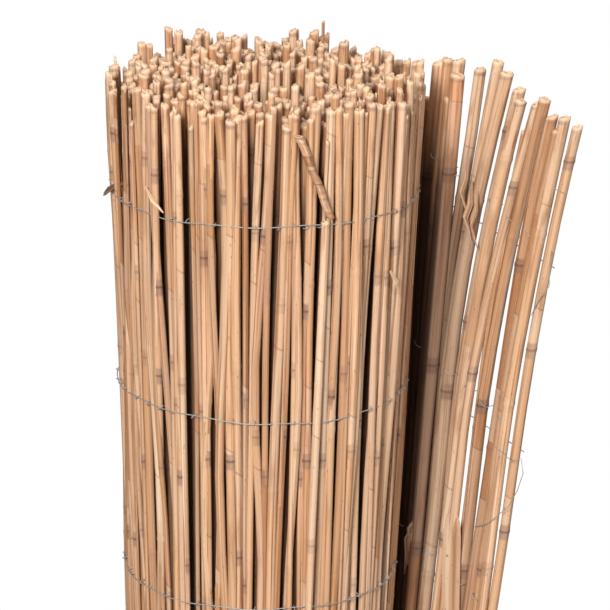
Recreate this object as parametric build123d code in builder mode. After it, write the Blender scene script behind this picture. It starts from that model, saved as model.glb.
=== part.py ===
# Reed screening mat, rolled up and stood on its end, with the outer end of the mat sprung open.
# Dry reeds of one cut length lie side by side and are bound by rows of galvanised wire: a line
# wire on the outer face and a thinner stitch wire on the inner face. All butts lie at the upper
# end, so the roll is a slight cone. The origin is on the roll's axis, on the floor. +Z is up, the
# open end stands on the +X side, and sizes are in millimetres.

import os
from math import cos, pi, radians, sin, sqrt
from random import Random

from build123d import *

# Roll
REED_LENGTH = 1000.0
ROLL_TOP_RADIUS = 124.7
ROLL_FOOT_RADIUS = 92.3
HEART_RADIUS = 17.0
TURN_PITCH = 11.0
SEAM_ANGLE = 66.0

# Reeds of the roll, as measured at the upper end
OUTER_REED_PITCH = 7.2
INNER_REED_PITCH = 12.5
REED_HALF_THICKNESS = 4.0
VALLEY_HALF_THICKNESS = 2.2

# Uneven reed ends on top of the roll
END_RECESS = 26.0
END_STEP = 9.0
END_LEVELS = 3
END_SEED = 11

# Open end: it leaves the roll on an arc, runs straight, fans out upwards and sags at its free edge
OPEN_REEDS = 28
OPEN_TOP_ARC_RADIUS = 189.0
OPEN_TOP_ARC_TURN = 25.0
OPEN_TOP_RUN = 195.0
OPEN_FOOT_ARC_TURN = 15.0
OPEN_FOOT_LENGTH = 127.5
OPEN_SLOPE = 0.105
OPEN_TOP_FILL = 0.8
OPEN_FOOT_FILL = 1.14
OPEN_END_UNEVEN = 20.0
OPEN_SIDE_UNEVEN = 1.5
OPEN_SEED = 4

# Binding wires
WIRE_ROWS = 6
WIRE_TOP_MARGIN = 95.0
WIRE_FOOT_MARGIN = 81.5
LINE_WIRE_DIAMETER = 1.5
STITCH_WIRE_DIAMETER = 1.0
REEDS_PER_CHORD = 5
LINE_WIRE_TURN = 345.0
STITCH_START = 0.2
HOOK_LENGTH = 9.0

# Clearance between pieces that rest on each other
SEAT_GAP = 0.3

FULL_TURN = 2 * pi
SEAM = radians(SEAM_ANGLE)
FOOT_SCALE = ROLL_FOOT_RADIUS / ROLL_TOP_RADIUS
RIM_HEIGHT = REED_LENGTH - END_RECESS


def scale_at(height):
    """Size of the roll's section at this height, as a share of its size at the upper end."""
    return FOOT_SCALE + (1 - FOOT_SCALE) * height / REED_LENGTH


def wound_radius(wound):
    """Radius of the mat's middle line, at this angle wound inwards from the seam."""
    return ROLL_TOP_RADIUS + TURN_PITCH * (0.5 - wound / FULL_TURN)


def wound_point(wound, outward, scale):
    """Point on the wound mat, this far outwards of its middle line."""
    radius = scale * (wound_radius(wound) + outward)
    return (radius * cos(SEAM + wound), radius * sin(SEAM + wound))


def reed_cells():
    """Start and end angle of each reed along the wound mat, from the seam to the heart of the roll."""
    outer_count = round(FULL_TURN * ROLL_TOP_RADIUS / OUTER_REED_PITCH)
    outer_step = FULL_TURN / outer_count
    outer = [(i * outer_step, (i + 1) * outer_step) for i in range(outer_count)]
    inner = []
    start = FULL_TURN
    while wound_radius(start) > HEART_RADIUS:
        end = start + INNER_REED_PITCH / wound_radius(start)
        inner.append((start, end))
        start = end
    return outer, inner


OUTER_CELLS, INNER_CELLS = reed_cells()
ALL_CELLS = OUTER_CELLS + INNER_CELLS
OUTER_STEP = FULL_TURN / len(OUTER_CELLS)


def outer_line(cells, scale):
    """Ridged outer edge of a run of reeds: three facets on the outer turn, two further in."""
    points = [wound_point(cells[0][0], VALLEY_HALF_THICKNESS, scale)]
    for start, end in cells:
        crests = (0.3, 0.7) if end < FULL_TURN + 0.5 * OUTER_STEP else (0.5,)
        for share in crests:
            points.append(wound_point(start + share * (end - start), REED_HALF_THICKNESS, scale))
        points.append(wound_point(end, VALLEY_HALF_THICKNESS, scale))
    return points


def reed_ends(cells, scale):
    """Closed outline of a run of reeds as seen from above."""
    inner_line = [wound_point(start, -VALLEY_HALF_THICKNESS, scale) for start, end in cells]
    inner_line.append(wound_point(cells[-1][1], -VALLEY_HALF_THICKNESS, scale))
    return outer_line(cells, scale) + inner_line[::-1]


def runs_of(cells, wanted):
    """Splits the cells into runs of neighbours that are all wanted."""
    runs = [[]]
    for cell, keep in zip(cells, wanted):
        if keep:
            runs[-1].append(cell)
        elif runs[-1]:
            runs.append([])
    return [run for run in runs if run]


# Rolled reeds: the turns of the mat as one solid, ridged by the outer reeds, with the reed ends
# of every turn standing up to uneven heights
rim_scale = scale_at(RIM_HEIGHT)
end_chance = Random(END_SEED)
end_levels = [end_chance.randint(0, END_LEVELS) for cell in ALL_CELLS]

with BuildPart() as rolled_reeds:
    with BuildSketch():
        Polygon(*outer_line(OUTER_CELLS, FOOT_SCALE), align=None)
    with BuildSketch(Plane.XY.offset(RIM_HEIGHT)):
        Polygon(*outer_line(OUTER_CELLS, rim_scale), align=None)
    loft(ruled=True)
    standing_ends = []
    for level in range(1, END_LEVELS + 1):
        runs = runs_of(ALL_CELLS, [reached == level for reached in end_levels])
        with BuildSketch(Plane.XY.offset(RIM_HEIGHT), mode=Mode.PRIVATE) as level_ends:
            add([Polygon(*reed_ends(run, rim_scale), align=None, mode=Mode.PRIVATE) for run in runs])
        standing_ends.append(extrude(level_ends.sketch, amount=level * END_STEP, mode=Mode.PRIVATE))
    add(standing_ends, clean=False)
rolled_reeds.part.label = "rolled_reeds"


def open_line(distance, start_radius, arc_radius, arc_turn):
    """Point on the open end's middle line and the angle of its outward side, from the seam on."""
    arc_length = arc_radius * arc_turn
    angle = SEAM - min(distance, arc_length) / arc_radius
    run = max(distance - arc_length, 0)
    x = (start_radius - arc_radius) * cos(SEAM) + arc_radius * cos(angle) + run * sin(angle)
    y = (start_radius - arc_radius) * sin(SEAM) + arc_radius * sin(angle) - run * cos(angle)
    return Vector(x, y), angle


TOP_ARC_TURN = radians(OPEN_TOP_ARC_TURN)
FOOT_ARC_TURN = radians(OPEN_FOOT_ARC_TURN)
TOP_LENGTH = OPEN_TOP_ARC_RADIUS * TOP_ARC_TURN + OPEN_TOP_RUN
BEND_SHARE = 1 - OPEN_TOP_RUN / TOP_LENGTH
FOOT_ARC_RADIUS = BEND_SHARE * OPEN_FOOT_LENGTH / FOOT_ARC_TURN
TOP_START = wound_radius(0)
FOOT_START = wound_radius(0) * FOOT_SCALE
REED_FOOT_DIAMETER = OPEN_FOOT_FILL * OPEN_FOOT_LENGTH / OPEN_REEDS
REED_TOP_DIAMETER = OPEN_TOP_FILL * TOP_LENGTH / OPEN_REEDS
FLAT_SHARE = sqrt(3) / 2


def open_point(along, outward, height):
    """Point beside the open end, at a share of its length, outwards of its middle line."""
    top_at = along * TOP_LENGTH
    foot_at = along * OPEN_FOOT_LENGTH
    top, top_angle = open_line(top_at, TOP_START, OPEN_TOP_ARC_RADIUS, TOP_ARC_TURN)
    foot, foot_angle = open_line(foot_at, FOOT_START, FOOT_ARC_RADIUS, FOOT_ARC_TURN)
    middle = foot + (top - foot) * (height / REED_LENGTH)
    angle = foot_angle + (top_angle - foot_angle) * height / REED_LENGTH
    return Vector(middle.X + outward * cos(angle), middle.Y + outward * sin(angle), height), angle


def open_reed_radius(height):
    """Half the width of one reed of the open end, corner to corner, at this height."""
    return (REED_FOOT_DIAMETER + (REED_TOP_DIAMETER - REED_FOOT_DIAMETER) * height / REED_LENGTH) / 2


def sag_height(point, height):
    """Height of a level line of the mat where it reaches this point of the open end."""
    run_angle = SEAM - TOP_ARC_TURN
    seam_x, seam_y = wound_point(0, REED_HALF_THICKNESS, scale_at(height))
    along_run = (point.X - seam_x) * sin(run_angle) - (point.Y - seam_y) * cos(run_angle)
    return height - OPEN_SLOPE * along_run


def sagged_point(along, outward, height):
    """Point on a level line of the mat, at a share of the open end's length."""
    level_point, angle = open_point(along, outward, height)
    point, angle = open_point(along, outward, sag_height(level_point, height))
    return Vector(point.X, point.Y, sag_height(point, height))


# Loose end reeds: the sprung end of the mat, a wall of tapering reeds that touch at the foot and
# stand apart towards the top
first_along = (open_reed_radius(0) + SEAT_GAP) / OPEN_FOOT_LENGTH
last_along = 1 - open_reed_radius(0) / OPEN_FOOT_LENGTH
along_step = (last_along - first_along) / (OPEN_REEDS - 1)
open_chance = Random(OPEN_SEED)

with BuildPart() as loose_end_reeds:
    open_reeds = []
    for i in range(OPEN_REEDS):
        along = first_along + i * along_step
        edge = sagged_point(along, 0, REED_LENGTH)
        reed_top = edge.Z + OPEN_END_UNEVEN * (open_chance.random() - 0.5)
        inside = 0 < i < OPEN_REEDS - 1
        sideways = OPEN_SIDE_UNEVEN * (2 * open_chance.random() - 1) if inside else 0
        foot, foot_angle = open_point(along, 0, 0)
        top, top_angle = open_point(along + sideways / TOP_LENGTH, 0, reed_top)
        turn = (foot_angle + top_angle) / 2 * 180 / pi + 90
        with BuildSketch(Plane((foot.X, foot.Y, 0)), mode=Mode.PRIVATE) as foot_section:
            RegularPolygon(open_reed_radius(0), 6, rotation=turn)
        with BuildSketch(Plane((top.X, top.Y, reed_top)), mode=Mode.PRIVATE) as top_section:
            RegularPolygon(open_reed_radius(reed_top), 6, rotation=turn)
        open_reeds.append(loft([foot_section.sketch, top_section.sketch], ruled=True, mode=Mode.PRIVATE))
    add(open_reeds, clean=False)
loose_end_reeds.part.label = "loose_end_reeds"


def roll_wire_path(height):
    """Path of a line wire once round the roll, from the seam on."""
    scale = scale_at(height)
    chord_angle = REEDS_PER_CHORD * OUTER_STEP
    sagitta = scale * ROLL_TOP_RADIUS * (1 - cos(chord_angle / 2))
    lift = (LINE_WIRE_DIAMETER / 2 + SEAT_GAP + sagitta) / scale
    path = []
    for i in range(round(radians(LINE_WIRE_TURN) / chord_angle) + 1):
        x, y = wound_point(i * chord_angle, REED_HALF_THICKNESS + lift, scale)
        path.append(Vector(x, y, height))
    return path


def beside_run(along, ahead, outward, height):
    """Point beside the straight run of the open end, ahead of and outwards from its middle line."""
    bend = sagged_point(BEND_SHARE, 0, height)
    free_edge = sagged_point(last_along, 0, height)
    run = Vector(free_edge.X - bend.X, free_edge.Y - bend.Y).normalized()
    middle = sagged_point(along, 0, height)
    point = Vector(middle.X, middle.Y) + run * ahead + Vector(-run.Y, run.X) * outward
    return Vector(point.X, point.Y, sag_height(point, height))


def line_wire(height):
    """A line wire: hooked round the last reed, along the outside of the open end, once round the roll."""
    wire_radius = LINE_WIRE_DIAMETER / 2
    offset = open_reed_radius(height) + wire_radius + SEAT_GAP
    roll_path = roll_wire_path(height)
    seam = Vector(roll_path[0].X, roll_path[0].Y, sag_height(roll_path[0], height))
    hook_end = beside_run(last_along, -HOOK_LENGTH, -offset, height)
    hook_inside = beside_run(last_along, 0, -offset, height)
    hook_tip = beside_run(last_along, offset, 0, height)
    hook_outside = beside_run(last_along, 0, offset, height)
    bend = beside_run(BEND_SHARE, 0, offset, height)
    with BuildPart() as wire:
        with BuildLine():
            Line(hook_end, hook_inside)
            ThreePointArc(hook_inside, hook_tip, hook_outside)
            Line(hook_outside, bend)
            TangentArc(bend, seam, tangent=bend - hook_outside)
        with BuildSketch(Plane(hook_end, z_dir=hook_inside - hook_end)):
            RegularPolygon(wire_radius, 6)
        sweep()
        with BuildLine():
            Polyline(*roll_path)
        with BuildSketch(Plane(roll_path[0], z_dir=roll_path[1] - roll_path[0])):
            RegularPolygon(wire_radius, 6)
        sweep(transition=Transition.RIGHT)
    return wire.part


def stitch_wire(height):
    """A stitch wire along the inner face of the open end."""
    wire_radius = STITCH_WIRE_DIAMETER / 2
    seat = -open_reed_radius(height) - wire_radius - SEAT_GAP
    start = beside_run(last_along, -1.5 * HOOK_LENGTH, seat, height)
    bend = beside_run(BEND_SHARE, 0, seat, height)
    inner_end = sagged_point(STITCH_START, seat, height)
    with BuildPart() as wire:
        with BuildLine():
            Line(start, bend)
            TangentArc(bend, inner_end, tangent=bend - start)
        with BuildSketch(Plane(start, z_dir=bend - start)):
            RegularPolygon(wire_radius, 6)
        sweep()
    return wire.part


os.makedirs("parts", exist_ok=True)
export_step(rolled_reeds.part, "parts/rolled_reeds.step")
export_step(loose_end_reeds.part, "parts/loose_end_reeds.step")

# Binding wires, row by row from the top down
row_pitch = (REED_LENGTH - WIRE_TOP_MARGIN - WIRE_FOOT_MARGIN) / (WIRE_ROWS - 1)
for row in range(WIRE_ROWS):
    row_height = REED_LENGTH - WIRE_TOP_MARGIN - row * row_pitch
    line = line_wire(row_height)
    line.label = f"line_wire_{row + 1}"
    export_step(line, f"parts/line_wire_{row + 1}.step")
    stitch = stitch_wire(row_height)
    stitch.label = f"stitch_wire_{row + 1}"
    export_step(stitch, f"parts/stitch_wire_{row + 1}.step")
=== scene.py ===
import random
from math import cos, pi, radians, sin

import bpy
from mathutils import Matrix, Vector


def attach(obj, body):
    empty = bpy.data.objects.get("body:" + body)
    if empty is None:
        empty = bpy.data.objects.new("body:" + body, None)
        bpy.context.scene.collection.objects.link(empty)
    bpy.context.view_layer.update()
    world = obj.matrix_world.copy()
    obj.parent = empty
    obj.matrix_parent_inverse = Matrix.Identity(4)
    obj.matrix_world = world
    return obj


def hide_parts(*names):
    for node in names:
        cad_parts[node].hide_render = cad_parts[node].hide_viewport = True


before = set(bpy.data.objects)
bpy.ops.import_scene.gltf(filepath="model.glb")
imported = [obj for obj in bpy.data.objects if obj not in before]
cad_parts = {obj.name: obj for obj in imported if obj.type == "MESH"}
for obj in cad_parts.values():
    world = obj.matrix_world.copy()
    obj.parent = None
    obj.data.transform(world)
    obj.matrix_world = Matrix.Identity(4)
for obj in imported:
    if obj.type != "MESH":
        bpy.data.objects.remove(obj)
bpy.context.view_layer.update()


# The mat, before it is cut into pieces: the reeds lie side by side on a spiral that starts at the
# seam and winds inwards. The roll is a slight cone, and the outer end fans out to the right.
HEIGHT = 1.0
TOP_RADIUS = 0.1247
FOOT_SCALE = 0.0923 / 0.1247
TURN = 0.011
SEAM = radians(66.0)
REED_RADIUS = 0.004
OPEN_TOP_LENGTH = 0.2775
OPEN_FOOT_LENGTH = 0.1275
OPEN_TOP_ARC = 0.189
OPEN_FOOT_ARC = 0.14475
OPEN_TOP_TURN = radians(25.0)
OPEN_FOOT_TURN = radians(15.0)


def roll_scale(z):
    return FOOT_SCALE + (1.0 - FOOT_SCALE) * z / HEIGHT


def wound_place(wound, outward, scale):
    radius = scale * (TOP_RADIUS + TURN * (0.5 - wound / (2 * pi)) + outward)
    return radius * cos(SEAM + wound), radius * sin(SEAM + wound)


def front_place(angle, outward, z):
    turn = radians(angle)
    radius = roll_scale(z) * TOP_RADIUS + REED_RADIUS + outward
    return Vector((radius * sin(turn), -radius * cos(turn), z))


def open_line(distance, start_radius, arc_radius, arc_turn):
    angle = SEAM - min(distance / arc_radius, arc_turn)
    run = max(distance - arc_radius * arc_turn, 0.0)
    x = (start_radius - arc_radius) * cos(SEAM) + arc_radius * cos(angle) + run * sin(angle)
    y = (start_radius - arc_radius) * sin(SEAM) + arc_radius * sin(angle) - run * cos(angle)
    return Vector((x, y, 0.0)), angle


def open_place(along, outward, z):
    start = TOP_RADIUS + TURN / 2
    top, top_angle = open_line(along * OPEN_TOP_LENGTH, start, OPEN_TOP_ARC, OPEN_TOP_TURN)
    start *= FOOT_SCALE
    foot, foot_angle = open_line(along * OPEN_FOOT_LENGTH, start, OPEN_FOOT_ARC, OPEN_FOOT_TURN)
    share = z / HEIGHT
    angle = foot_angle + (top_angle - foot_angle) * share
    middle = foot + (top - foot) * share
    return Vector((middle.x + outward * cos(angle), middle.y + outward * sin(angle), z))


# Dry reed: a tapering hollow stem with swollen dark nodes, torn leaf sheaths that end in ragged
# edges, and fine streaks along its length. Every reed has its own tone.
REED_NODES = 6
NODE_SWELLING = 0.1
CUT_SLANT = 0.0016
FRAYED_CUT = 0.0011
FLARE_START = 0.7
FLARE_LENGTH = 0.3
FLARE_POWER = 1.6
ROLL_TAPER = 0.76


def srgb(r, g, b):
    def linear(level):
        share = level / 255
        return share / 12.92 if level < 11 else ((share + 0.055) / 1.055) ** 2.4

    return linear(r), linear(g), linear(b), 1.0


def feeder(links):
    """Function that links a socket to another one, or gives it a plain value."""
    def feed(socket, value):
        if isinstance(value, bpy.types.NodeSocket):
            links.new(value, socket)
        else:
            socket.default_value = value

    return feed


def calculator(nodes, feed):
    """Function that adds one math node and returns its result."""
    def math(operation, a, b=0.0):
        node = nodes.new("ShaderNodeMath")
        node.operation = operation
        feed(node.inputs[0], a)
        feed(node.inputs[1], b)
        return node.outputs[0]

    return math


def input_names(tree):
    """Identifier of each input socket of a node tree, by its name."""
    return {item.name: item.identifier for item in tree.interface.items_tree if item.in_out == "INPUT"}


def as_plain_mesh(name, source):
    """Replaces an object and its modifier with the mesh that they make."""
    bpy.context.view_layer.update()
    evaluated = source.evaluated_get(bpy.context.evaluated_depsgraph_get())
    mesh = bpy.data.meshes.new_from_object(evaluated)
    bpy.data.objects.remove(source)
    piece = bpy.data.objects.new(name, mesh)
    bpy.context.scene.collection.objects.link(piece)
    return piece


def reed_template(name, sides, rings):
    """One reed as a closed tube with a hollow cut end; its rings keep their place along the stem."""
    verts, faces = [], []
    values = {"place": [], "shift": [], "swell": [], "rim": [], "cut": [], "side": [], "front": []}
    for place, shift, swell, rim, cut in rings:
        for i in range(sides):
            turn = 2 * pi * i / sides
            verts.append((cos(turn), sin(turn), len(verts) / 1000))
            for key, value in zip(values, (place, shift, swell, rim, cut, cos(turn), sin(turn))):
                values[key].append(value)
    for ring in range(len(rings) - 1):
        for i in range(sides):
            low, next_low = ring * sides + i, ring * sides + (i + 1) % sides
            faces.append((low, next_low, next_low + sides, low + sides))
    faces.append(tuple(range(sides))[::-1])
    faces.append(tuple(range((len(rings) - 1) * sides, len(rings) * sides)))
    mesh = bpy.data.meshes.new(name)
    mesh.from_pydata(verts, [], faces)
    for key, column in values.items():
        mesh.attributes.new(key, "FLOAT", "POINT").data.foreach_set("value", column)
    mesh.polygons.foreach_set("use_smooth", [True] * len(faces))
    return bpy.data.objects.new(name, mesh)


def full_rings():
    """Rings of a reed with swollen nodes: the place, shift, swell, rim and cut of each."""
    last = REED_NODES - 1
    rings = [(-1.0, 0.0, 0.0, 1.0, 0.0), (-0.5, 0.0, 0.0, 1.0, 0.0)]
    for node in range(REED_NODES):
        rings += [(node, -0.006, 0.0, 1.0, 0.0), (node, -0.002, 0.35, 1.0, 0.0), (node, 0.0, 1.0, 1.0, 0.0),
                  (node, 0.002, 0.35, 1.0, 0.0), (node, 0.005, 0.0, 1.0, 0.0)]
        if node < last:
            rings += [(node + 0.35, 0.0, 0.0, 1.0, 0.0), (node + 0.68, 0.0, 0.0, 1.0, 0.0)]
    rings += [(last + 0.5, 0.0, 0.0, 1.0, 0.0), (last + 1.0, -0.004, 0.0, 1.0, 0.0)]
    rings += [(last + 1.0, 0.0, 0.0, 1.0, 1.0), (last + 1.0, 0.001, 0.0, 0.6, 1.0)]
    rings += [(last + 1.0, -0.012, 0.0, 0.42, 0.0)]
    return rings


def plain_rings():
    """Rings of a reed without swollen nodes, for where only its end shows."""
    last = REED_NODES - 1
    rings = [(-1.0, 0.0, 0.0, 1.0, 0.0), (2.0, 0.0, 0.0, 1.0, 0.0), (last + 0.3, 0.0, 0.0, 1.0, 0.0)]
    rings += [(last + 1.0, -0.004, 0.0, 1.0, 0.0), (last + 1.0, 0.0, 0.0, 0.97, 1.0)]
    rings += [(last + 1.0, 0.001, 0.0, 0.55, 1.0), (last + 1.0, -0.008, 0.0, 0.3, 0.0)]
    return rings


def reed_tree():
    """Node tree that grows one reed on each point, from its foot to its top."""
    tree = bpy.data.node_groups.new("grow_reeds", "GeometryNodeTree")
    face = tree.interface
    face.new_socket("Reed Points", in_out="INPUT", socket_type="NodeSocketGeometry")
    face.new_socket("Template", in_out="INPUT", socket_type="NodeSocketObject")
    face.new_socket("Node Swelling", in_out="INPUT", socket_type="NodeSocketFloat")
    face.new_socket("Slant Of Cut", in_out="INPUT", socket_type="NodeSocketFloat")
    face.new_socket("Frayed Cut", in_out="INPUT", socket_type="NodeSocketFloat")
    face.new_socket("Material", in_out="INPUT", socket_type="NodeSocketMaterial")
    face.new_socket("Reeds", in_out="OUTPUT", socket_type="NodeSocketGeometry")
    nodes, links = tree.nodes, tree.links
    given = nodes.new("NodeGroupInput")
    result = nodes.new("NodeGroupOutput")

    feed = feeder(links)
    math = calculator(nodes, feed)

    def vector(operation, a, b=(0, 0, 0), scale=1.0):
        node = nodes.new("ShaderNodeVectorMath")
        node.operation = operation
        feed(node.inputs[0], a)
        if operation == "SCALE":
            feed(node.inputs["Scale"], scale)
        else:
            feed(node.inputs[1], b)
        return node.outputs[0]

    def stored(name, kind="FLOAT"):
        node = nodes.new("GeometryNodeInputNamedAttribute")
        node.data_type = kind
        node.inputs["Name"].default_value = name
        return node.outputs["Attribute"]

    template = nodes.new("GeometryNodeObjectInfo")
    links.new(given.outputs["Template"], template.inputs["Object"])
    spread = nodes.new("GeometryNodeInstanceOnPoints")
    links.new(given.outputs["Reed Points"], spread.inputs["Points"])
    links.new(template.outputs["Geometry"], spread.inputs["Instance"])
    realize = nodes.new("GeometryNodeRealizeInstances")
    links.new(spread.outputs["Instances"], realize.inputs["Geometry"])

    place, shift = stored("place"), stored("shift")
    first, last = stored("first_node"), stored("last_gap")
    step = math("DIVIDE", math("SUBTRACT", math("SUBTRACT", 1.0, first), last), REED_NODES - 1.0)
    low = math("MULTIPLY", first, math("ADD", 1.0, math("MINIMUM", place, 0.0)))
    middle = math("MULTIPLY", step, math("MINIMUM", math("MAXIMUM", place, 0.0), REED_NODES - 1.0))
    high = math("MULTIPLY", last, math("MAXIMUM", math("SUBTRACT", place, REED_NODES - 1.0), 0.0))
    along = math("ADD", math("ADD", math("ADD", low, middle), high), shift)
    slant = math("MULTIPLY", math("MULTIPLY", stored("cut"), stored("side")), given.outputs["Slant Of Cut"])
    frayed = nodes.new("FunctionNodeRandomValue")
    frayed.inputs[2].default_value = -1.0
    frayed.inputs[3].default_value = 1.0
    fray = math("MULTIPLY", math("MULTIPLY", frayed.outputs[1], stored("cut")), given.outputs["Frayed Cut"])
    along_cut = math("ADD", math("ADD", along, fray), math("MULTIPLY", slant, stored("slant")))

    foot, top = stored("foot", "FLOAT_VECTOR"), stored("top", "FLOAT_VECTOR")
    centre = vector("ADD", foot, vector("SCALE", vector("SUBTRACT", top, foot), scale=along_cut))
    bend = math("SINE", math("MULTIPLY", along, pi))
    sway = math("SINE", math("MULTIPLY", math("MULTIPLY", along, pi), stored("waves")))
    centre = vector("ADD", centre, vector("SCALE", stored("bow", "FLOAT_VECTOR"), scale=bend))
    centre = vector("ADD", centre, vector("SCALE", stored("sway", "FLOAT_VECTOR"), scale=sway))

    past = math("MULTIPLY", math("SUBTRACT", along, FLARE_START), 1 / FLARE_LENGTH)
    opening = math("POWER", math("MAXIMUM", past, 0.0), FLARE_POWER)
    centre = vector("ADD", centre, vector("SCALE", stored("flare", "FLOAT_VECTOR"), scale=opening))

    thin, thick = stored("foot_radius"), stored("top_radius")
    radius = math("ADD", thin, math("MULTIPLY", math("SUBTRACT", thick, thin), along))
    swollen = math("ADD", 1.0, math("MULTIPLY", stored("swell"), given.outputs["Node Swelling"]))
    radius = math("MULTIPLY", math("MULTIPLY", radius, swollen), stored("rim"))
    split = nodes.new("ShaderNodeSeparateXYZ")
    links.new(nodes.new("GeometryNodeInputPosition").outputs[0], split.inputs[0])
    ring = nodes.new("ShaderNodeCombineXYZ")
    links.new(split.outputs[0], ring.inputs[0])
    links.new(split.outputs[1], ring.inputs[1])
    moved = nodes.new("GeometryNodeSetPosition")
    links.new(realize.outputs["Geometry"], moved.inputs["Geometry"])
    surface = vector("ADD", centre, vector("SCALE", ring.outputs[0], scale=radius))
    links.new(surface, moved.inputs["Position"])
    coat = nodes.new("GeometryNodeSetMaterial")
    links.new(moved.outputs["Geometry"], coat.inputs["Geometry"])
    links.new(given.outputs["Material"], coat.inputs["Material"])
    links.new(coat.outputs["Geometry"], result.inputs["Reeds"])
    return tree


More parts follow.
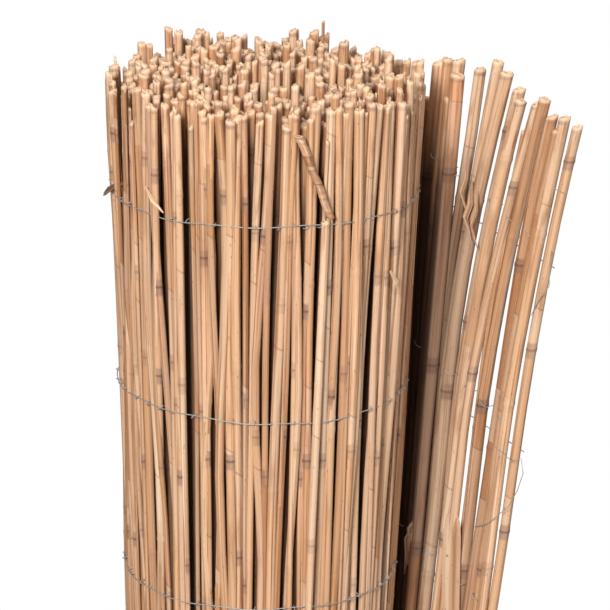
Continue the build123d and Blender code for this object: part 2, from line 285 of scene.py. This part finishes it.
def reed_material():
    """Straw to orange-brown by reed, with streaks, node bands, sheath edges, pale cut ends and painted
    shade.
    """
    material = bpy.data.materials.new("dry_reed")
    material.use_nodes = True
    nodes, links = material.node_tree.nodes, material.node_tree.links
    shader = nodes["Principled BSDF"]

    feed = feeder(links)
    math = calculator(nodes, feed)

    def ramp(factor, stops):
        node = nodes.new("ShaderNodeValToRGB")
        while len(node.color_ramp.elements) < len(stops):
            node.color_ramp.elements.new(0.5)
        for element, (at, colour) in zip(node.color_ramp.elements, stops):
            element.position = at
            element.color = colour
        links.new(factor, node.inputs[0])
        return node.outputs[0]

    def mix(factor, a, b, mode="MIX"):
        node = nodes.new("ShaderNodeMix")
        node.data_type = "RGBA"
        node.blend_type = mode
        feed(node.inputs[0], factor)
        feed(node.inputs[6], a)
        feed(node.inputs[7], b)
        return node.outputs[2]

    def stored(name):
        node = nodes.new("ShaderNodeAttribute")
        node.attribute_name = name
        return node.outputs["Fac"]

    def smooth(value, low, high):
        node = nodes.new("ShaderNodeMapRange")
        node.interpolation_type = "SMOOTHSTEP"
        feed(node.inputs[0], value)
        node.inputs[1].default_value = low
        node.inputs[2].default_value = high
        return node.outputs[0]

    def noise(stretch, detail, along_reed=False):
        mapping = nodes.new("ShaderNodeMapping")
        mapping.inputs["Scale"].default_value = stretch
        if along_reed:
            spot = nodes.new("ShaderNodeCombineXYZ")
            links.new(math("ADD", stored("side"), math("MULTIPLY", stored("seed"), 5.3)), spot.inputs[0])
            links.new(math("ADD", stored("front"), math("MULTIPLY", stored("seed"), 3.1)), spot.inputs[1])
            links.new(stored("place"), spot.inputs[2])
            links.new(spot.outputs[0], mapping.inputs[0])
        else:
            links.new(nodes.new("ShaderNodeTexCoord").outputs["Object"], mapping.inputs[0])
        node = nodes.new("ShaderNodeTexNoise")
        node.inputs["Scale"].default_value = 1.0
        node.inputs["Detail"].default_value = detail
        links.new(mapping.outputs[0], node.inputs[0])
        return node.outputs[0]

    tone, seed = stored("tone"), stored("seed")

    def by_stretch(which):
        pair = nodes.new("ShaderNodeCombineXYZ")
        links.new(seed, pair.inputs[0])
        links.new(which, pair.inputs[1])
        node = nodes.new("ShaderNodeTexWhiteNoise")
        node.noise_dimensions = "2D"
        links.new(pair.outputs[0], node.inputs["Vector"])
        return node.outputs["Value"]

    # each stretch between two nodes has its own tone, and a sheath that ends at its own height
    skew = math("ADD", stored("place"), math("MULTIPLY", stored("side"), 0.014))
    stretch = math("FLOOR", skew)
    share = math("SUBTRACT", skew, stretch)
    chance = by_stretch(stretch)
    own_tone = math("SUBTRACT", by_stretch(math("ADD", stretch, 40.0)), 0.5)
    varied = math("ADD", tone, math("MULTIPLY", own_tone, 0.3))
    base = ramp(varied, [
        (0.0, srgb(164, 114, 76)), (0.2, srgb(192, 143, 102)), (0.45, srgb(208, 167, 130)),
        (0.65, srgb(220, 188, 156)), (0.82, srgb(199, 153, 120)), (0.93, srgb(186, 169, 153)),
        (1.0, srgb(212, 140, 82)),
    ])
    beyond = math("SUBTRACT", share, math("MULTIPLY", chance, 2.2))
    sheath = math("SUBTRACT", 1.0, smooth(beyond, -0.004, 0.004))
    edge = math("MULTIPLY", smooth(beyond, -0.012, 0.0), math("SUBTRACT", 1.0, smooth(beyond, 0.0, 0.008)))
    sheath_tone = ramp(chance, [
        (0.0, srgb(224, 198, 170)), (0.5, srgb(184, 149, 122)), (1.0, srgb(210, 165, 124)),
    ])
    colour = mix(math("MULTIPLY", sheath, 0.45), base, sheath_tone)
    streak = noise((2.6, 2.6, 0.9), 4.0, along_reed=True)
    colour = mix(smooth(streak, 0.46, 0.78), colour, mix(1.0, colour, srgb(178, 134, 98), "MULTIPLY"))
    pale = noise((1.7, 1.7, 0.7), 2.0, along_reed=True)
    colour = mix(math("MULTIPLY", smooth(pale, 0.54, 0.75), 0.5), colour, srgb(232, 208, 182))
    blotch = noise((0.6, 0.6, 2.4), 5.0, along_reed=True)
    colour = mix(math("MULTIPLY", smooth(blotch, 0.52, 0.74), 0.6), colour, srgb(156, 106, 70))
    speck = noise((900.0, 900.0, 260.0), 1.0)
    colour = mix(math("MULTIPLY", smooth(speck, 0.72, 0.78), 0.75), colour, srgb(84, 56, 40))
    colour = mix(math("MULTIPLY", edge, 0.5), colour, srgb(110, 72, 48))
    # nodes: a faint violet-brown band that some joints show strongly and others not at all
    joint = by_stretch(math("FLOOR", math("ADD", stored("place"), 20.5)))
    strength = smooth(joint, 0.25, 1.0)
    apart = math("ABSOLUTE", math("SUBTRACT", math("FRACT", math("ADD", stored("place"), 20.5)), 0.5))
    zone = math("SUBTRACT", 1.0, smooth(apart, 0.0, 0.02))
    colour = mix(math("MULTIPLY", zone, math("MULTIPLY", strength, 0.55)), colour, srgb(122, 92, 84))
    band = smooth(stored("swell"), 0.4, 0.9)
    colour = mix(math("MULTIPLY", band, math("MULTIPLY", strength, 0.7)), colour, srgb(84, 58, 50))
    # painted shade: a reed's shade value darkens it towards dark brown, fully below its last node and fading
    # out towards its cut end, which stays light
    deep = math("MULTIPLY", stored("shade"), math("SUBTRACT", 1.0, smooth(stored("place"), 4.8, 5.7)))
    colour = mix(deep, colour, srgb(58, 34, 20))
    cut = stored("cut")
    colour = mix(math("MULTIPLY", smooth(cut, 0.3, 0.9), 0.6), colour, srgb(230, 196, 162))
    # painted shade in the hollow of each cut end: the bore is darkened to brown
    bore = math("SUBTRACT", 1.0, smooth(stored("rim"), 0.44, 0.56))
    colour = mix(bore, colour, srgb(128, 86, 56))
    links.new(colour, shader.inputs["Base Color"])
    shader.inputs["Roughness"].default_value = 0.62
    shader.inputs["Specular IOR Level"].default_value = 0.3
    bump = nodes.new("ShaderNodeBump")
    bump.inputs["Strength"].default_value = 0.35
    bump.inputs["Distance"].default_value = 0.0006
    raised = math("ADD", streak, math("MULTIPLY", sheath, 0.6))
    links.new(math("SUBTRACT", raised, edge), bump.inputs["Height"])
    links.new(bump.outputs[0], shader.inputs["Normal"])
    return material


def grow(name, reeds, template):
    """Grows the listed reeds with the node tree and returns them as one plain mesh object."""
    mesh = bpy.data.meshes.new(name + "_points")
    mesh.from_pydata([(0.0, 0.0, 0.0)] * len(reeds), [], [])
    for key in ("foot", "top", "bow", "sway", "flare"):
        column = [c for reed in reeds for c in reed[key]]
        mesh.attributes.new(key, "FLOAT_VECTOR", "POINT").data.foreach_set("vector", column)
    for key in ("foot_radius", "top_radius", "first_node", "last_gap", "tone", "seed", "slant", "shade",
                "waves"):
        column = [reed[key] for reed in reeds]
        mesh.attributes.new(key, "FLOAT", "POINT").data.foreach_set("value", column)
    source = bpy.data.objects.new(name + "_source", mesh)
    bpy.context.scene.collection.objects.link(source)
    growth = source.modifiers.new("growth", "NODES")
    growth.node_group = REED_TREE
    sockets = input_names(REED_TREE)
    growth[sockets["Template"]] = template
    growth[sockets["Node Swelling"]] = NODE_SWELLING
    growth[sockets["Slant Of Cut"]] = CUT_SLANT
    growth[sockets["Frayed Cut"]] = FRAYED_CUT
    growth[sockets["Material"]] = REED_MATERIAL
    return as_plain_mesh(name, source)


def reed(chance, foot, top, foot_radius, top_radius, bow=0.002, sway=0.0008, tone=None,
         flare=(0, 0, 0), shade=0.0):
    """Sizes and chances of one reed."""
    turn, turn_2 = chance.uniform(0, 2 * pi), chance.uniform(0, 2 * pi)
    bent, swayed = chance.uniform(0.2, 1.0) * bow, chance.uniform(0.2, 1.0) * sway
    return {
        "foot": tuple(foot), "top": tuple(top), "foot_radius": foot_radius, "top_radius": top_radius,
        "bow": (bent * cos(turn), bent * sin(turn), 0.0),
        "sway": (swayed * cos(turn_2), swayed * sin(turn_2), 0.0),
        "first_node": chance.uniform(0.02, 0.15), "last_gap": chance.uniform(0.03, 0.17),
        "tone": 0.8 * chance.random() if tone is None else tone, "seed": chance.uniform(0, 900),
        "slant": chance.uniform(-1, 1), "flare": tuple(flare), "shade": shade,
        "waves": chance.uniform(2.0, 6.0),
    }


REED_TREE = reed_tree()
REED_MATERIAL = reed_material()
FULL_REED = reed_template("full_reed", 10, full_rings())
PLAIN_REED = reed_template("plain_reed", 6, plain_rings())


# Outer turn of the roll: the reeds that show all round. They are not quite parallel, so dark gaps
# open between them and the turn beneath shows through. Thin stems lie across them here and there.
OUTER_REEDS = 117
THIN_STEMS = 22
TALL_REEDS = ((-0.084, 0.086, 0.014), (-0.076, 0.088, 0.010), (-0.060, 0.096, 0.006))
TALL_FOOT_SCALE = 0.74
chance = random.Random(7)
outer = []
for i in range(OUTER_REEDS):
    wound = (i + 0.5 + chance.uniform(-0.25, 0.25)) * 2 * pi / OUTER_REEDS
    thick = chance.triangular(0.0020, 0.0048, 0.0031)
    deep = chance.uniform(-0.0018, 0.0010)
    x, y = wound_place(wound + chance.gauss(0, 0.045), deep, FOOT_SCALE)
    foot = (x, y, chance.uniform(0.0, 0.004))
    x, y = wound_place(wound + chance.gauss(0, 0.028), deep, 1.0)
    top = (x, y, HEIGHT + max(min(chance.gauss(-0.006, 0.006), 0.006), -0.024))
    aside, outward = chance.gauss(0, 0.036), chance.uniform(0.0, 0.03)
    flare = (outward * x - aside * y, outward * y + aside * x, 0.0)
    outer.append(reed(chance, foot, top, thick * ROLL_TAPER, thick, bow=0.0034, sway=0.0042, flare=flare))
for i in range(THIN_STEMS):
    wound = (i + chance.random()) * 2 * pi / THIN_STEMS
    thick = chance.uniform(0.0010, 0.0018)
    x, y = wound_place(wound + chance.gauss(0, 0.07), 0.0024, FOOT_SCALE)
    foot = (x, y, chance.uniform(0.0, 0.004))
    x, y = wound_place(wound + chance.gauss(0, 0.07), 0.0034, 1.0)
    outer.append(reed(chance, foot, (x, y, HEIGHT + chance.uniform(-0.03, 0.004)), thick, thick))
# a reed that has snapped near its top, its stump, a brown twig and three tall reeds
snapped_top, snapped_foot = front_place(10.2, 0.004, 0.981), front_place(22.7, 0.003, 0.912)
outer.append(reed(chance, snapped_foot, snapped_top, 0.0032, 0.0036, bow=0.001, tone=0.1))
stump_foot, stump_top = front_place(16.0, 0.001, 0.004), front_place(20.9, 0.002, 0.909)
outer.append(reed(chance, stump_foot, stump_top, 0.0026, 0.0034, tone=0.55))
twig_foot, twig_top = (0.046, 0.107, 0.6), (0.045, 0.108, HEIGHT + 0.016)
outer.append(reed(chance, twig_foot, twig_top, 0.0014, 0.0013, tone=0.0))
for x, y, rise in TALL_REEDS:
    foot = (x * TALL_FOOT_SCALE, y * TALL_FOOT_SCALE, 0.0)
    outer.append(reed(chance, foot, (x, y, HEIGHT + rise), 0.0026, 0.0034))
outer_reeds = grow("outer_reeds", outer, FULL_REED)
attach(outer_reeds, "root")
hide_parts("rolled_reeds")


# Second turn of the roll: the reeds just beneath the outer turn. They lie in its shade, which is painted
# into their colour as darker browns and a dark-brown shade below their tops, so they show as dark lines in
# its gaps; their cut ends show on top.
SECOND_REEDS = 100
chance = random.Random(8)
second = []
for i in range(SECOND_REEDS):
    wound = 2 * pi + (i + 0.5 + chance.uniform(-0.2, 0.2)) * 2 * pi / SECOND_REEDS
    thick = chance.triangular(0.0024, 0.0046, 0.0034)
    deep = chance.uniform(-0.003, 0.0)
    x, y = wound_place(wound + chance.gauss(0, 0.02), deep, FOOT_SCALE)
    foot = (x, y, chance.uniform(0.0, 0.004))
    x, y = wound_place(wound + chance.gauss(0, 0.02), deep, 1.0)
    top = (x, y, HEIGHT + max(min(chance.gauss(-0.008, 0.007), 0.006), -0.03))
    # painted shade: tones kept to the darker browns, and a shade value that darkens them below their tops
    second.append(reed(chance, foot, top, thick * ROLL_TAPER, thick, tone=0.3 * chance.random(), shade=0.78))
second_reeds = grow("second_reeds", second, FULL_REED)
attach(second_reeds, "root")
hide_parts("rolled_reeds")


# Inner turns: only their cut ends show, at top and foot, packed tightly round an open heart.
INNER_TURN = 0.0086
INNER_START = TOP_RADIUS - 1.5 * TURN
HEART_RADIUS = 0.022
HEART_X, HEART_Y = -0.011, -0.006
chance = random.Random(9)
inner = []
wound = 0.0
radius = INNER_START
while radius > HEART_RADIUS:
    thick = chance.triangular(0.0021, 0.0052, 0.0031)
    wound += (2 * thick + chance.uniform(-0.0004, 0.0007)) / radius
    radius = INNER_START - INNER_TURN * wound / (2 * pi)
    aside = (INNER_START - radius) / (INNER_START - HEART_RADIUS)
    outward = radius + chance.uniform(-0.0022, 0.0022)
    x = outward * cos(SEAM + wound) + aside * HEART_X
    y = outward * sin(SEAM + wound) + aside * HEART_Y
    dip = 0.055 * max(aside - 0.5, 0.0) / 0.5 if y < HEART_Y else 0.0
    top_z = HEIGHT - dip + max(min(chance.gauss(-0.009, 0.008), 0.008), -0.04)
    foot = (FOOT_SCALE * x, FOOT_SCALE * y, chance.uniform(0.0, 0.006))
    # painted shade darkens their sides below the cut end; the short last gap brings it up to about 4 cm
    # under the cut
    inner.append(reed(chance, foot, (x, y, top_z), thick * ROLL_TAPER, thick, shade=0.6))
    inner[-1]["last_gap"] = 0.04
inner_reeds = grow("inner_reeds", inner, PLAIN_REED)
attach(inner_reeds, "root")
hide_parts("rolled_reeds")


# Open end: the last reeds of the mat, sprung away from the roll to the right. They stand close
# near the roll, and fan out in loose groups with daylight between them towards the free edge.
CLOSE_REEDS = 17
# each loose reed: about where it stands at half height, where its end stands, and the end's rise
LOOSE_REEDS = (
    (0.44, 0.42, -0.002), (0.47, 0.45, 0.002), (0.50, 0.50, 0.004), (0.52, 0.48, -0.03),
    (0.56, 0.57, 0.0), (0.59, 0.66, 0.012), (0.62, 0.70, 0.005), (0.65, 0.75, -0.007),
    (0.68, 0.78, -0.014), (0.73, 0.84, -0.013), (0.76, 0.80, -0.04), (0.79, 0.87, -0.008),
    (0.85, 0.91, -0.02), (0.88, 0.935, -0.03), (0.91, 0.95, -0.019), (0.97, 1.015, -0.022),
)
chance = random.Random(5)
opened = []
for i in range(CLOSE_REEDS):
    along = 0.02 + 0.43 * i / CLOSE_REEDS
    thick = chance.triangular(0.0034, 0.0056, 0.0044)
    foot = open_place(along * 1.25, chance.uniform(-0.002, 0.002), 0.0)
    end, outward = along + chance.gauss(0, 0.01), chance.uniform(-0.003, 0.003)
    top = open_place(end, outward, HEIGHT + chance.uniform(-0.05, -0.025))
    # painted shade: the close reeds lie in the shade of the roll, so they are darkened below their tops
    opened.append(reed(chance, foot, top, thick * 0.7, thick, bow=0.003, sway=0.0014, shade=0.9))
for middle, end, rise in LOOSE_REEDS:
    thick = chance.triangular(0.0038, 0.0062, 0.0050)
    outward = chance.uniform(-0.003, 0.003)
    foot = open_place(middle + 0.11, outward * 0.5, 0.0)
    straight = open_place(middle - 0.035, outward, HEIGHT + rise)
    flare = open_place(end, outward, HEIGHT + rise) - straight
    # painted shade, strongest on the reeds nearest the roll and gone beyond about two thirds of the way out
    shade = max(min((0.68 - middle) * 6.0, 0.94), 0.0)
    opened.append(reed(chance, foot, straight, thick * 0.9, thick, 0.003, 0.0026, None, flare, shade))
# an orange reed, with painted shade below its top
orange_foot, orange_top = open_place(0.64, -0.004, 0.003), open_place(0.526, -0.008, 0.994)
opened.append(reed(chance, orange_foot, orange_top, 0.0044, 0.0060, tone=1.0, shade=0.6))
open_reeds = grow("open_reeds", opened, FULL_REED)
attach(open_reeds, "root")
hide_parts("loose_end_reeds")


# Torn leaf sheaths and splinters: thin dry strips that hang on the reeds of the open end and
# lie across the front of the roll.
STRIP_THICKNESS = 0.0006
ACROSS_OPEN = (0.75, -0.66, 0)


def strip(points, widths, across, tone, shade=0.0):
    """One thin strip along the points, as a closed solid."""
    first = len(verts)
    depth = Vector((0, STRIP_THICKNESS, 0))
    for i in range(len(points)):
        looks["place"] += [0.25 + 0.1 * i] * 4
        looks["side"] += [0.9, 0.8, -0.8, -0.9]
        looks["tone"] += [tone] * 4
        looks["shade"] += [shade] * 4
    for point, width in zip(points, widths):
        side = Vector(across).normalized() * width / 2
        for corner in (side, side - depth, -side - depth, -side):
            verts.append(point + corner)
    for i in range(len(points) - 1):
        for j in range(4):
            low, next_low = first + 4 * i + j, first + 4 * i + (j + 1) % 4
            faces.append((low, next_low, next_low + 4, low + 4))
    faces.append((first + 3, first + 2, first + 1, first))
    last = first + 4 * (len(points) - 1)
    faces.append((last, last + 1, last + 2, last + 3))


verts, faces = [], []
looks = {"place": [], "side": [], "tone": [], "shade": []}
# The last value darkens a strip towards dark brown: painted shade on the strips that hang on the open end,
# more of it nearer the roll, and the dark brown of the leaf on the left of the roll.
strip([open_place(0.79, -0.004, 0.50), open_place(0.775, -0.006, 0.53), open_place(0.755, -0.007, 0.565),
       open_place(0.735, -0.007, 0.60), open_place(0.728, -0.006, 0.612), open_place(0.72, -0.005, 0.618)],
      (0.016, 0.019, 0.020, 0.019, 0.015, 0.008), ACROSS_OPEN, 0.55, 0.06)
for along, z, width in ((0.50, 0.545, 0.004), (0.515, 0.555, 0.006), (0.53, 0.55, 0.003)):
    strip([open_place(along, -0.006, z), open_place(along + 0.015, -0.009, z + 0.02),
           open_place(along + 0.01, -0.011, z + 0.036), open_place(along + 0.03, -0.008, z + 0.05)],
          (0.001, width, width, 0.001), ACROSS_OPEN, 0.1, 0.3)
for along, z, width in ((0.60, 0.93, 0.004), (0.63, 0.91, 0.006), (0.66, 0.905, 0.003)):
    strip([open_place(along, -0.007, z), open_place(along + 0.02, -0.012, z - 0.018),
           open_place(along + 0.01, -0.013, z - 0.03), open_place(along + 0.03, -0.008, z - 0.05)],
          (0.001, width, width, 0.001), ACROSS_OPEN, 0.1, 0.15)
strip([front_place(-48, 0.004, 0.927), front_place(-44, 0.005, 0.918), front_place(-39.6, 0.003, 0.909)],
      (0.001, 0.004, 0.001), (0.6, 0, 1), 0.65)
strip([front_place(51, 0.003, 0.857), front_place(54.5, 0.005, 0.845), front_place(58.2, 0.003, 0.832)],
      (0.002, 0.004, 0.002), (0.8, 0, 1), 0.65)
strip([Vector((-0.1160, -0.042, 0.916)), Vector((-0.1235, -0.036, 0.912)), Vector((-0.1300, -0.030, 0.906)),
       Vector((-0.1330, -0.026, 0.902))], (0.002, 0.005, 0.007, 0.003), (0.2, 0, 1), 0.0, 0.7)
strips_mesh = bpy.data.meshes.new("torn_sheaths")
strips_mesh.from_pydata(verts, [], faces)
looks["rim"] = [1.0] * len(verts)
looks["seed"] = [3.0] * len(verts)
for key, column in looks.items():
    strips_mesh.attributes.new(key, "FLOAT", "POINT").data.foreach_set("value", column)
strips_mesh.materials.append(REED_MATERIAL)
torn_sheaths = bpy.data.objects.new("torn_sheaths", strips_mesh)
bpy.context.scene.collection.objects.link(torn_sheaths)
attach(torn_sheaths, "root")


# Galvanised binding wire, six rows: a line wire round the outside, and a thinner stitch wire that
# hooks over it between the reeds. On the open end the stitches show as short bright bits, and at
# the free edge the wires end in loose curls.
WIRE_ROWS = (0.905, 0.7403, 0.5756, 0.4109, 0.2462, 0.0815)
STITCH_PITCH = 2.6 * 2 * pi / OUTER_REEDS
LINE_WIRE_RADIUS = 0.00045
STITCH_WIRE_RADIUS = 0.00036
WIRE_REACH = radians(345.0)
ROUND_STEPS = 199
OPEN_STEPS = 30
HOOK = ((1.0, 0.0020), (0.6, 0.0056), (0.0, 0.0068), (-0.6, 0.0056), (-1.0, 0.0020))
OPEN_STITCH = ((-0.018, 0.004, 0.002), (-0.014, -0.006, 0.002), (0.0, -0.0078, 0.0),
               (0.014, -0.006, -0.002), (0.018, 0.004, -0.002))
UPPER_CURL = ((1.0, 0.872), (1.005, 0.859), (1.015, 0.842), (0.991, 0.833), (0.975, 0.824),
              (0.959, 0.813))
LOWER_CURL = ((0.892, 0.691), (0.935, 0.688), (0.977, 0.684), (1.022, 0.689), (1.042, 0.677),
              (1.028, 0.66), (0.998, 0.643), (0.914, 0.622), (0.847, 0.614))
KNOT_STEPS = 32
KNOT_TURNS = 3
KNOT_RADIUS = 0.0009


def wire_tree():
    """Node tree that turns thin paths into round wire."""
    tree = bpy.data.node_groups.new("draw_wire", "GeometryNodeTree")
    tree.interface.new_socket("Paths", in_out="INPUT", socket_type="NodeSocketGeometry")
    tree.interface.new_socket("Wire Radius", in_out="INPUT", socket_type="NodeSocketFloat")
    tree.interface.new_socket("Material", in_out="INPUT", socket_type="NodeSocketMaterial")
    tree.interface.new_socket("Wires", in_out="OUTPUT", socket_type="NodeSocketGeometry")
    nodes, links = tree.nodes, tree.links
    given, result = nodes.new("NodeGroupInput"), nodes.new("NodeGroupOutput")
    curves = nodes.new("GeometryNodeMeshToCurve")
    profile = nodes.new("GeometryNodeCurvePrimitiveCircle")
    profile.inputs["Resolution"].default_value = 6
    drawn = nodes.new("GeometryNodeCurveToMesh")
    drawn.inputs["Fill Caps"].default_value = True
    realize = nodes.new("GeometryNodeRealizeInstances")
    coat = nodes.new("GeometryNodeSetMaterial")
    links.new(given.outputs["Paths"], curves.inputs["Mesh"])
    links.new(given.outputs["Wire Radius"], profile.inputs["Radius"])
    links.new(curves.outputs["Curve"], drawn.inputs["Curve"])
    links.new(profile.outputs["Curve"], drawn.inputs["Profile Curve"])
    links.new(drawn.outputs["Mesh"], realize.inputs["Geometry"])
    links.new(realize.outputs["Geometry"], coat.inputs["Geometry"])
    links.new(given.outputs["Material"], coat.inputs["Material"])
    links.new(coat.outputs["Geometry"], result.inputs["Wires"])
    return tree


def draw_wire(name, paths, radius):
    """Draws the listed paths as round wire and returns them as one plain mesh object."""
    verts, edges = [], []
    for path in paths:
        edges += [(len(verts) + i, len(verts) + i + 1) for i in range(len(path) - 1)]
        verts += path
    mesh = bpy.data.meshes.new(name + "_paths")
    mesh.from_pydata(verts, edges, [])
    source = bpy.data.objects.new(name + "_source", mesh)
    bpy.context.scene.collection.objects.link(source)
    drawing = source.modifiers.new("drawing", "NODES")
    drawing.node_group = WIRE_TREE
    sockets = input_names(WIRE_TREE)
    drawing[sockets["Wire Radius"]] = radius
    drawing[sockets["Material"]] = WIRE_MATERIAL
    return as_plain_mesh(name, source)


def open_rise(along):
    """Height of a stitch on the open end, above its row on the roll."""
    return 0.055 * min(along / 0.4, 1.0) - 0.09 * along


WIRE_TREE = wire_tree()
WIRE_MATERIAL = bpy.data.materials.new("galvanised_wire")
WIRE_MATERIAL.use_nodes = True
wire_shader = WIRE_MATERIAL.node_tree.nodes["Principled BSDF"]
wire_shader.inputs["Base Color"].default_value = srgb(158, 156, 150)
wire_shader.inputs["Metallic"].default_value = 0.25
wire_shader.inputs["Roughness"].default_value = 0.42

chance = random.Random(12)
line_paths, stitch_paths = [], []
for z in WIRE_ROWS:
    wave, wave_2 = chance.uniform(0, 6), chance.uniform(0, 6)
    path = []
    for i in range(OPEN_STEPS + 1):
        along = 0.985 * (1 - i / OPEN_STEPS)
        path.append(open_place(along, 0.0062 - 0.0012 * along, z - 0.052 * along))
    for i in range(1, ROUND_STEPS + 1):
        wound = i * WIRE_REACH / ROUND_STEPS
        x, y = wound_place(wound, 0.0052 / roll_scale(z), roll_scale(z))
        rise = 0.0012 * sin(3 * wound + wave) + 0.0007 * sin(11 * wound + wave_2)
        path.append(Vector((x, y, z + rise)))
    line_paths.append(path)
    for i in range(round(WIRE_REACH / STITCH_PITCH)):
        wound = (i + chance.uniform(-0.3, 0.3)) * STITCH_PITCH
        height, lean = chance.uniform(0.0012, 0.0022), chance.uniform(-0.006, 0.02)
        hook = []
        for share, outward in HOOK:
            x, y = wound_place(wound + lean * share, outward / roll_scale(z), roll_scale(z))
            hook.append(Vector((x, y, z + share * height)))
        stitch_paths.append(hook)
    for i in range(8):
        along = 0.27 + 0.0885 * i + chance.uniform(-0.008, 0.008)
        level = z + open_rise(along)
        stitch = []
        for aside, outward, rise in OPEN_STITCH:
            stitch.append(open_place(along + aside, outward, level + rise))
        stitch_paths.append(stitch)
stitch_paths.append([open_place(along, -0.007, z) for along, z in UPPER_CURL])
stitch_paths.append([open_place(0.97, -0.007, 0.924), open_place(1.013, -0.008, 0.923)])
stitch_paths.append([open_place(along, -0.008, z) for along, z in LOWER_CURL])
knot = []
for i in range(KNOT_STEPS + 1):
    turn = i * 2 * pi * KNOT_TURNS / KNOT_STEPS
    z = 0.908 - 0.016 * i / KNOT_STEPS + KNOT_RADIUS * sin(turn)
    knot.append(front_place(-80.0 + 5.0 * i / KNOT_STEPS, 0.001 + KNOT_RADIUS * cos(turn), z))
stitch_paths.append(knot)
line_wires = draw_wire("line_wires", line_paths, LINE_WIRE_RADIUS)
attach(line_wires, "root")
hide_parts(*["line_wire_%d" % (row + 1) for row in range(len(WIRE_ROWS))])
stitch_wires = draw_wire("stitch_wires", stitch_paths, STITCH_WIRE_RADIUS)
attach(stitch_wires, "root")
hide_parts(*["stitch_wire_%d" % (row + 1) for row in range(len(WIRE_ROWS))])


# Studio: a white floor that keeps the shadow near the roll, and soft light from large panels.
AMBIENT = 0.17
FADE_START, FADE_END = 0.35, 0.95
LIT_POINT = Vector((0.05, 0.0, 0.75))
# name, place, size and power of each light panel
LAMPS = (
    ("key", (-0.9, -2.95, 2.3), 0.9, 146.0),
    ("fill", (1.8, -2.4, 1.7), 1.0, 26.0),
    ("top", (0.0, 0.2, 3.0), 1.4, 22.0),
    ("back", (0.6, 2.8, 1.6), 1.6, 30.0),
)
floor_mesh = bpy.data.meshes.new("floor")
floor_mesh.from_pydata([(-3, -3, 0), (3, -3, 0), (3, 3, 0), (-3, 3, 0)], [], [(0, 1, 2, 3)])
floor = bpy.data.objects.new("floor", floor_mesh)
bpy.context.scene.collection.objects.link(floor)
floor_material = bpy.data.materials.new("floor")
floor_material.use_nodes = True
nodes, links = floor_material.node_tree.nodes, floor_material.node_tree.links
nodes["Principled BSDF"].inputs["Base Color"].default_value = (0.9, 0.9, 0.9, 1.0)
nodes["Principled BSDF"].inputs["Roughness"].default_value = 0.9
clear = nodes.new("ShaderNodeBsdfTransparent")
blend = nodes.new("ShaderNodeMixShader")
where = nodes.new("ShaderNodeTexCoord")
away = nodes.new("ShaderNodeVectorMath")
away.operation = "LENGTH"
fade = nodes.new("ShaderNodeMapRange")
fade.interpolation_type = "SMOOTHSTEP"
fade.inputs[1].default_value = FADE_START
fade.inputs[2].default_value = FADE_END
links.new(where.outputs["Object"], away.inputs[0])
links.new(away.outputs["Value"], fade.inputs[0])
links.new(fade.outputs[0], blend.inputs[0])
links.new(nodes["Principled BSDF"].outputs[0], blend.inputs[1])
links.new(clear.outputs[0], blend.inputs[2])
links.new(blend.outputs[0], nodes["Material Output"].inputs[0])
floor_mesh.materials.append(floor_material)

world = bpy.data.worlds.new("studio")
world.use_nodes = True
nodes, links = world.node_tree.nodes, world.node_tree.links
glow = nodes["Background"]
glow.inputs[0].default_value = (1.0, 0.985, 0.96, 1.0)
glow.inputs[1].default_value = AMBIENT
white = nodes.new("ShaderNodeBackground")
white.inputs[0].default_value = (1.0, 1.0, 1.0, 1.0)
white.inputs[1].default_value = 1.0
path = nodes.new("ShaderNodeLightPath")
seen = nodes.new("ShaderNodeMath")
seen.operation = "MAXIMUM"
links.new(path.outputs["Is Camera Ray"], seen.inputs[0])
links.new(path.outputs["Is Transmission Ray"], seen.inputs[1])
choose = nodes.new("ShaderNodeMixShader")
links.new(seen.outputs[0], choose.inputs[0])
links.new(glow.outputs[0], choose.inputs[1])
links.new(white.outputs[0], choose.inputs[2])
links.new(choose.outputs[0], nodes["World Output"].inputs[0])
bpy.context.scene.world = world

for name, place, size, power in LAMPS:
    light = bpy.data.lights.new(name, "AREA")
    light.size = size
    light.energy = power
    lamp = bpy.data.objects.new(name, light)
    lamp.location = place
    lamp.rotation_euler = (LIT_POINT - Vector(place)).to_track_quat("-Z", "Y").to_euler()
    bpy.context.scene.collection.objects.link(lamp)


# Camera: at eye height in front of the roll, looking down on its rim.
CAMERA_PLACE = (-0.003, -2.5, 1.6296)
pitch, yaw, roll = radians(18.341), radians(-0.807), radians(0.94)
right = Vector((cos(yaw), sin(yaw), 0.0))
ahead = Vector((-sin(yaw) * cos(pitch), cos(yaw) * cos(pitch), -sin(pitch)))
up = Vector((-sin(yaw) * sin(pitch), cos(yaw) * sin(pitch), cos(pitch)))
turned_right = right * cos(roll) + up * sin(roll)
turned_up = up * cos(roll) - right * sin(roll)
camera_data = bpy.data.cameras.new("camera")
camera_data.sensor_width = 36.0
camera_data.lens = 187.49
camera = bpy.data.objects.new("camera", camera_data)
axes = Matrix((turned_right, turned_up, -ahead)).transposed()
camera.matrix_world = Matrix.Translation(CAMERA_PLACE) @ axes.to_4x4()
bpy.context.scene.collection.objects.link(camera)
bpy.context.scene.camera = camera
bpy.context.scene.view_settings.view_transform = "Standard"
